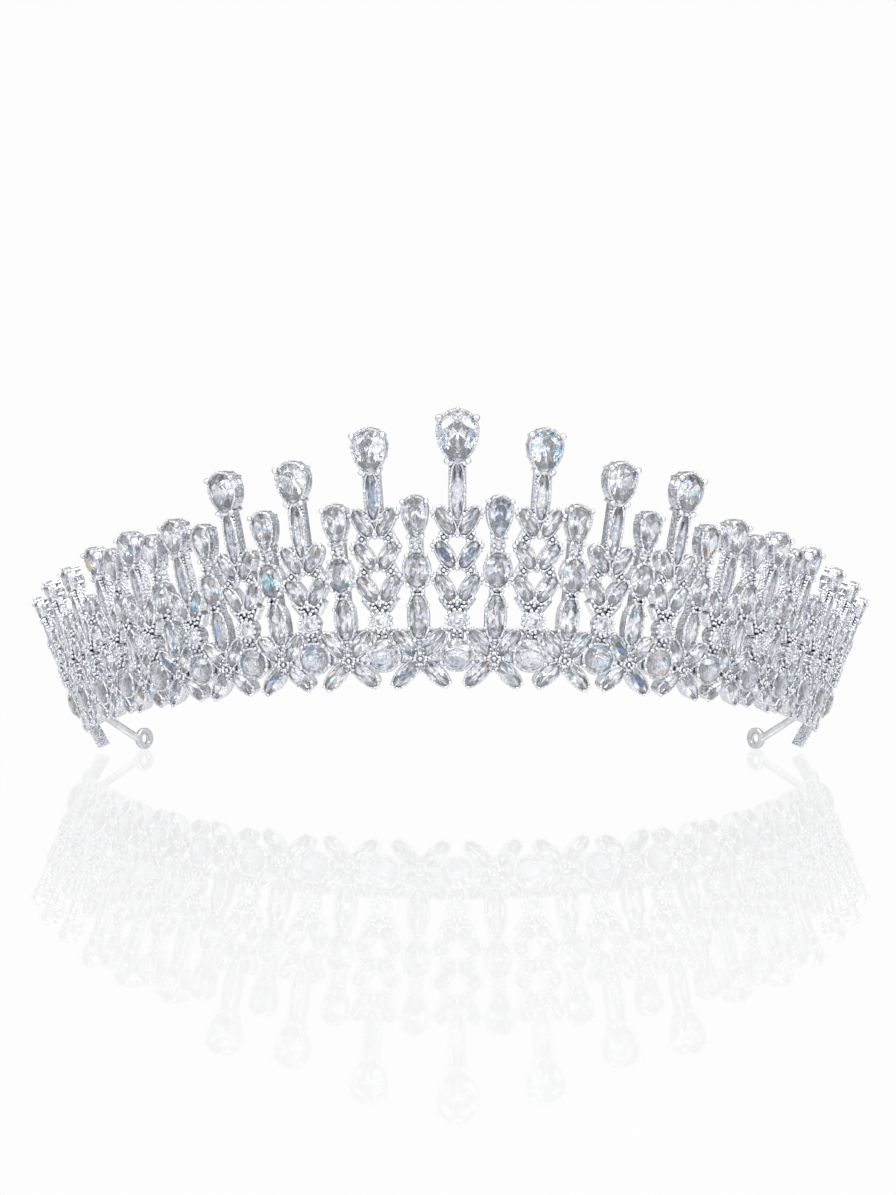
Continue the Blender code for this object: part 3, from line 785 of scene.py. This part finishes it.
satin, tree, shader = new_material("rhodium_plate_drawn_wire")
shader.inputs["Metallic"].default_value = 1.0
spot = add_node(tree, "ShaderNodeTexCoord")
drawn = add_node(tree, "ShaderNodeTexNoise", {"Scale": DRAW_MARKS_PER_MM / MM, "Detail": 4.0},
                 {"Vector": spot.outputs["Object"]})
rough = add_node(tree, "ShaderNodeMapRange", {"To Min": 0.28, "To Max": 0.5},
                 {"Value": drawn.outputs["Fac"]})
tree.links.new(rough.outputs[0], shader.inputs["Roughness"])
tone = add_node(tree, "ShaderNodeValToRGB", links={"Fac": drawn.outputs["Fac"]})
ramp_stops(tone, [(0.35, "#C3C4C8"), (0.65, "#D6D7DA")])
tree.links.new(tone.outputs["Color"], shader.inputs["Base Color"])
ripple = add_node(tree, "ShaderNodeBump", {"Strength": 0.2, "Distance": DRAW_MARK_DEPTH * MM},
                  {"Height": drawn.outputs["Fac"]})
tree.links.new(ripple.outputs[0], shader.inputs["Normal"])


def tube(metal, path, radius, sides=16):
    """Round wire along a path of points, with closed ends."""
    rings = []
    side = Vector((0, 0, 1))
    for i, p in enumerate(path):
        run = (path[min(i + 1, len(path) - 1)] - path[max(i - 1, 0)]).normalized()
        side = (side - run * side.dot(run)).normalized()
        other = run.cross(side)
        rings.append([p + (side * math.cos(a) + other * math.sin(a)) * radius
                      for a in (k * 2 * math.pi / sides for k in range(sides))])
    faces = []
    for r in range(len(rings) - 1):
        for k in range(sides):
            m = (k + 1) % sides
            faces.append((r * sides + k, r * sides + m, (r + 1) * sides + m, (r + 1) * sides + k))
    last = (len(rings) - 1) * sides
    faces += [tuple(reversed(range(sides))), tuple(range(last, last + sides))]
    metal.add([p for ring in rings for p in ring], faces)


rail = Build()
places = [(2 * i / RAIL_STEPS - 1) * RAIL_END for i in range(RAIL_STEPS + 1)]
tube(rail, [seat(place) @ Vector((0, RAIL_BEHIND, RAIL_HEIGHT)) for place in places], RAIL_RADIUS)
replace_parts(rail.piece("rail", Matrix.Identity(4), satin, "plain_wire", smooth_below=50), "rail_wire")

# ============================================================ arms
# Thicker wire of the same brass and plate, soldered behind each end of the band, bent inwards and
# down, and flattened at the tip into an eyelet for a ribbon or comb.

ARM_RADIUS = 0.8
ARM_START = (8.75, (0, 3.55, 6.5))
ARM_LOWER = (9.05, (0, 3.65, 3.6))
ARM_STEPS = 14
EYELET_CENTRE = (66.1, 87.0 - BOX_CENTRE_FROM_FRONT, 2.3)
ARM_INTO_EYELET = 1.75
EYELET_SECTION = ((1.0, -0.45), (1.12, -0.6), (2.12, -0.6), (2.28, -0.4),
                  (2.28, 0.4), (2.12, 0.6), (1.12, 0.6), (1.0, 0.45))
EYELET_SIDES = 48


def smooth_route(knots, steps):
    """Points of one smooth curve through the knots."""
    ends = [knots[0] * 2 - knots[1], *knots, knots[-1] * 2 - knots[-2]]
    route = []
    for a, b, c, d in zip(ends, ends[1:], ends[2:], ends[3:]):
        for step in range(steps):
            t = step / steps
            route.append(0.5 * (2 * b + (c - a) * t + (2 * a - 5 * b + 4 * c - d) * t ** 2
                                + (3 * b - a - 3 * c + d) * t ** 3))
    return route + [knots[-1]]


for side, word in ((-1, "left"), (1, "right")):
    arm = Build()
    start, lower = [seat(side * place) @ Vector(point) for place, point in (ARM_START, ARM_LOWER)]
    eyelet = Vector((side * EYELET_CENTRE[0], *EYELET_CENTRE[1:]))
    toward = ((eyelet - lower) * Vector((1, 1, 0))).normalized()
    last = eyelet - toward * ARM_INTO_EYELET
    middle = lower.lerp(last, 0.5) + Vector((side * 1.0, 0.4, 0.5))
    tube(arm, smooth_route([start, lower, middle, last], ARM_STEPS), ARM_RADIUS)
    upward = Vector((0, 0, 1))
    across = toward.cross(upward)
    rings = []
    for radius, thick in EYELET_SECTION:
        rings.append([eyelet + across * thick + (toward * math.cos(a) + upward * math.sin(a)) * radius
                      for a in (k * 2 * math.pi / EYELET_SIDES for k in range(EYELET_SIDES))])
    hoop(arm, rings)
    shown = arm.piece(f"arm_and_eyelet_{word}", Matrix.Identity(4), satin, "plain_wire", smooth_below=50)
    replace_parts(shown, f"arm_{word}")
